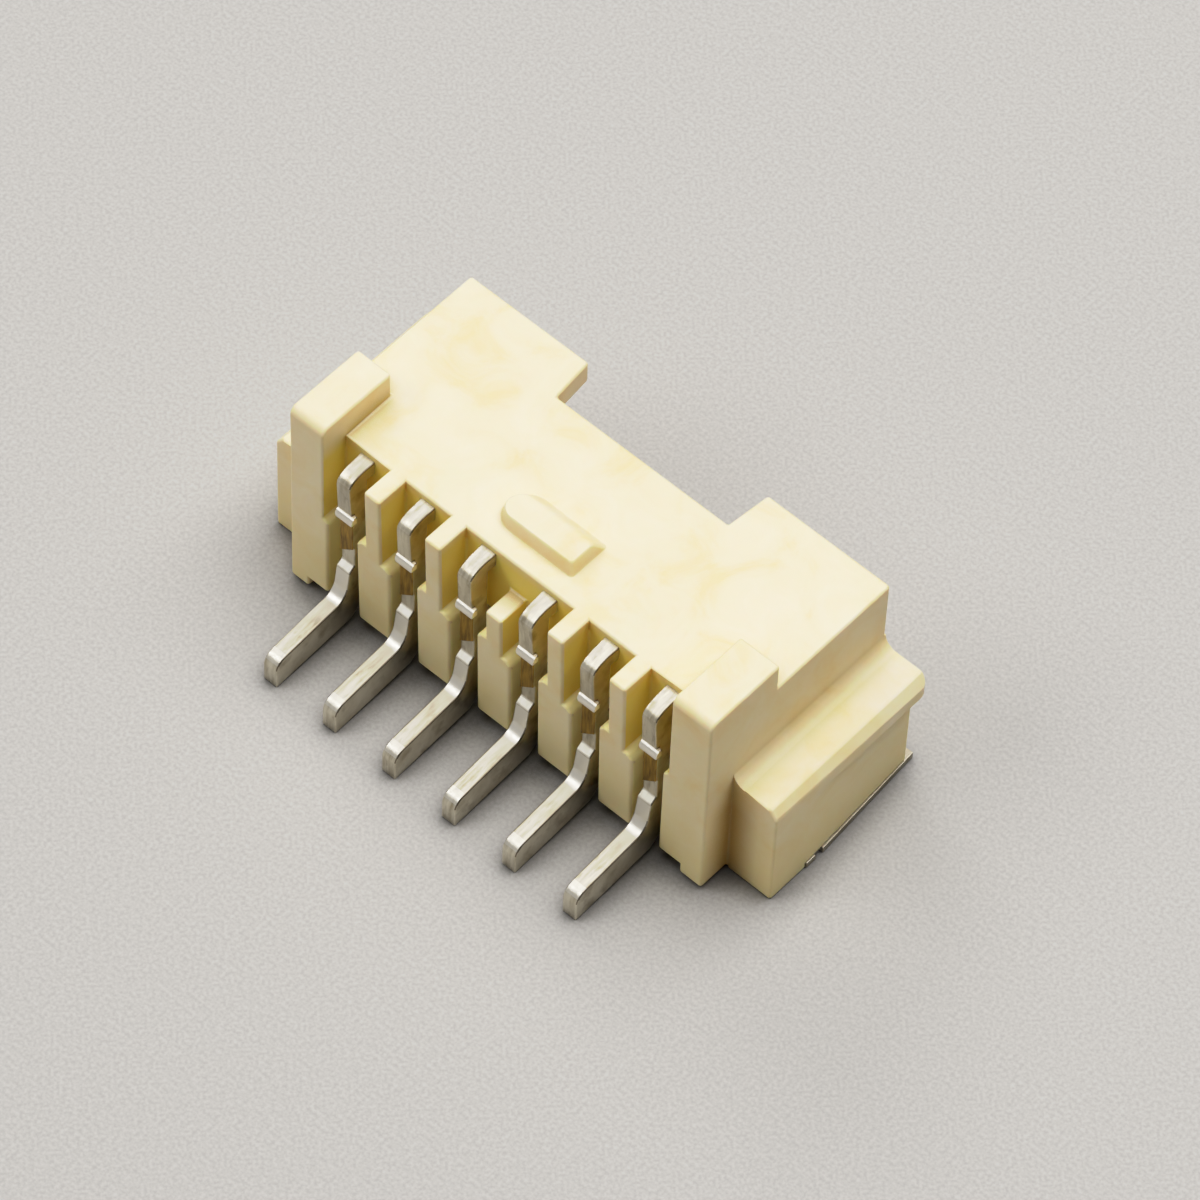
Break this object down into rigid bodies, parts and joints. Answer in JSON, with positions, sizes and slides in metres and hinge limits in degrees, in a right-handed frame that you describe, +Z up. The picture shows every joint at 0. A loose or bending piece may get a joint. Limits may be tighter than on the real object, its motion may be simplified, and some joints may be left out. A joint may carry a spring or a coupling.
{
  "type": "wafer connector",
  "caption": "Side-entry board connector: ivory moulded shroud with tinned terminals in its rear bays, a notched top plate and side wings that hold solder tabs.",
  "frame": {"origin": "on the board plane, under the middle of the outline with its solder tails", "axes": "+X along the row of contacts, +Y towards the mating side that the plug enters, +Z up from the board"},
  "size_m": [0.0104, 0.0058, 0.0044],
  "materials": {
    "nylon": "moulded nylon, natural ivory, satin",
    "tinned_brass": "blanked brass, matte tin plate",
    "tinned_sheet": "bent brass sheet, matte tin plate"
  },
  "bodies": {
    "root": {"housing": "nylon", "terminal_1": "tinned_brass", "terminal_2": "tinned_brass", "terminal_3": "tinned_brass", "terminal_4": "tinned_brass", "terminal_5": "tinned_brass", "terminal_6": "tinned_brass", "left_solder_tab": "tinned_sheet", "right_solder_tab": "tinned_sheet"}
  },
  "joints": []
}
